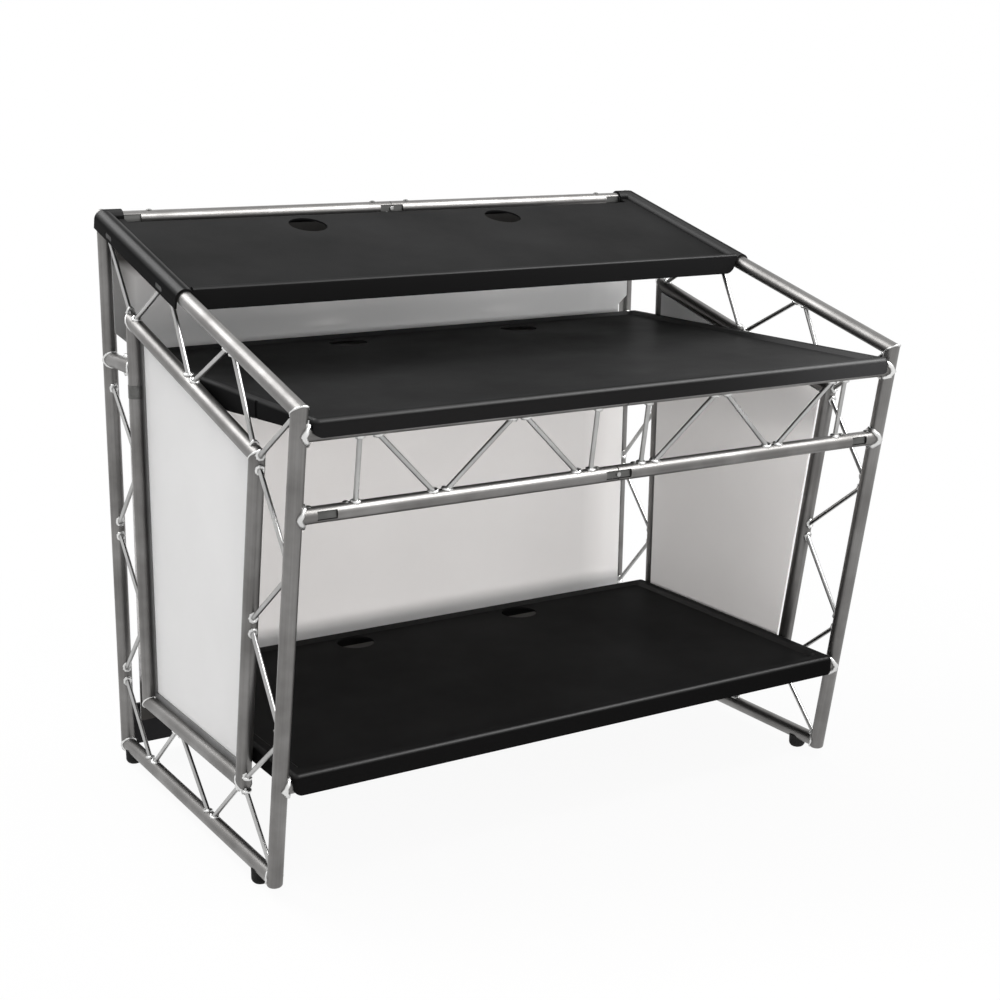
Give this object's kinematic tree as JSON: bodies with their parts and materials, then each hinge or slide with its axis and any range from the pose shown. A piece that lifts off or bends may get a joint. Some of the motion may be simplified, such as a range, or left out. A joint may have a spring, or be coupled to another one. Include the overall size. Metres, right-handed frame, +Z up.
{
  "type": "dj booth",
  "caption": "Folding tube-frame booth for a disc jockey: laced side frames, hinged cross tubes, lift-off black trays with cable holes, white side and front sheets.",
  "frame": {"origin": "centre of the bounding box at floor level, on the undersides of the rubber feet", "axes": "+X along the booth, to the right of the person who works at it; +Y away from that person, towards the audience; +Z up"},
  "size_m": [1.442, 1.0375, 1.279],
  "materials": {
    "tube_aluminium": "satin mill finish",
    "brace_aluminium": "bright drawn rod",
    "hinge_steel": "zinc plated",
    "strip_grey": "flat strip",
    "tray_black": "satin moulded",
    "board_black": "matte",
    "front_sheet_white": "soft white sheet",
    "side_sheet_white": "soft white sheet",
    "foot_rubber": "moulded"
  },
  "bodies": {
    "frame": {"centre_link_pins": "hinge_steel", "centre_links": "hinge_steel", "far_lower_tube_left": "tube_aluminium", "far_lower_tube_right": "tube_aluminium", "far_main_tube_left": "tube_aluminium", "far_main_tube_right": "tube_aluminium", "far_top_tube_left": "tube_aluminium", "far_top_tube_right": "tube_aluminium", "foot_board": "board_black", "front_sheet": "front_sheet_white", "left_far_rung": "tube_aluminium", "left_hinge_pins": "hinge_steel", "left_hinge_tongues": "hinge_steel", "left_inner_bottom_rail": "tube_aluminium", "left_inner_far_upright": "tube_aluminium", "left_inner_near_upright": "tube_aluminium", "left_inner_sloped_rail": "tube_aluminium", "left_lacing_braces": "brace_aluminium", "left_outer_bottom_rail": "tube_aluminium", "left_outer_far_upright": "tube_aluminium", "left_outer_near_upright": "tube_aluminium", "left_outer_sloped_rail": "tube_aluminium", "left_rubber_feet": "foot_rubber", "left_sheet_strips": "strip_grey", "left_side_sheet": "side_sheet_white", "left_tube_sockets": "tube_aluminium", "near_bottom_tube_left": "tube_aluminium", "near_bottom_tube_right": "tube_aluminium", "near_lower_tube_left": "tube_aluminium", "near_lower_tube_right": "tube_aluminium", "near_top_tube_left": "tube_aluminium", "near_top_tube_right": "tube_aluminium", "near_truss_webs_left": "brace_aluminium", "near_truss_webs_right": "brace_aluminium", "right_far_rung": "tube_aluminium", "right_hinge_pins": "hinge_steel", "right_hinge_tongues": "hinge_steel", "right_inner_bottom_rail": "tube_aluminium", "right_inner_far_upright": "tube_aluminium", "right_inner_near_upright": "tube_aluminium", "right_inner_sloped_rail": "tube_aluminium", "right_lacing_braces": "brace_aluminium", "right_outer_bottom_rail": "tube_aluminium", "right_outer_far_upright": "tube_aluminium", "right_outer_near_upright": "tube_aluminium", "right_outer_sloped_rail": "tube_aluminium", "right_rubber_feet": "foot_rubber", "right_sheet_strips": "strip_grey", "right_side_sheet": "side_sheet_white", "right_tube_sockets": "tube_aluminium"},
    "main_tray": {"main_tray": "tray_black"},
    "lower_tray": {"lower_tray": "tray_black"},
    "top_tray": {"top_tray": "tray_black"}
  },
  "joints": [
    {"name": "top_tray_lift", "type": "slide", "parent": "frame", "child": "top_tray", "axis": [0, -0.2604, 0.9655], "range_m": [0, 0.3]},
    {"name": "main_tray_lift", "type": "slide", "parent": "frame", "child": "main_tray", "axis": [0, 0, 1], "range_m": [0, 0.08]},
    {"name": "lower_tray_lift", "type": "slide", "parent": "frame", "child": "lower_tray", "axis": [0, 0, 1], "range_m": [0, 0.3]}
  ]
}
